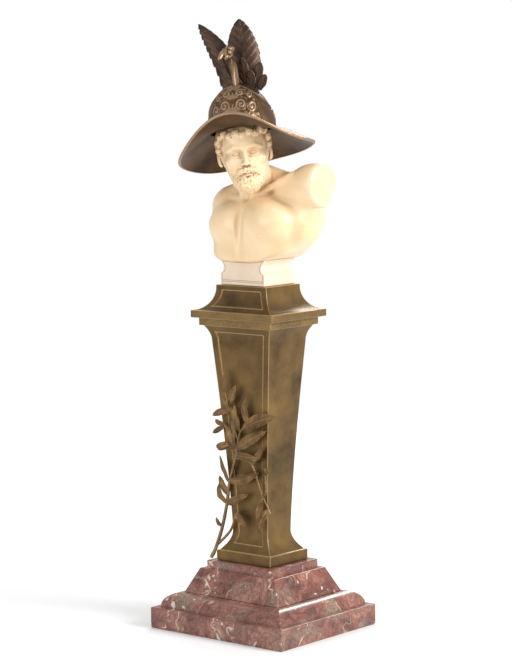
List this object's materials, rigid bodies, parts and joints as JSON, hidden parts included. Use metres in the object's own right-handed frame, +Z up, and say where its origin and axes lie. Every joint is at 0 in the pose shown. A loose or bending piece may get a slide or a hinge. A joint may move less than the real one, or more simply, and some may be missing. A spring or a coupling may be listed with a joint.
{
  "type": "helmeted bust on a pedestal",
  "caption": "Ivory torso and bearded head in a broad-brimmed bronze helmet with two feather wings, on a tall tapered bronze pedestal with a climbing branch and a stepped marble base.",
  "frame": {"origin": "centre of the underside of the marble slab", "axes": "+Z up; -Y is the front of the pedestal and of the chest; +X points to the figure's left, along the cut left arm"},
  "size_m": [0.1292, 0.1151, 0.4556],
  "materials": {
    "red_marble": "polished red-brown marble with grey-green patches and pale veins",
    "pedestal_bronze": "cast bronze with an olive-brown satin patina, rubbed brighter on its arrises",
    "helmet_bronze": "cast and chased bronze with a dark brown patina",
    "bust_ivory": "polished carved ivory, warm cream",
    "socle_ivory": "polished ivory, paler and slightly pink"
  },
  "bodies": {
    "root": {"marble_slab": "red_marble", "marble_block": "red_marble", "bronze_pedestal": "pedestal_bronze", "bronze_branch": "pedestal_bronze", "ivory_socle": "socle_ivory", "ivory_bust": "bust_ivory", "bronze_helmet": "helmet_bronze", "bronze_wing_left": "helmet_bronze", "bronze_wing_right": "helmet_bronze"}
  },
  "joints": []
}
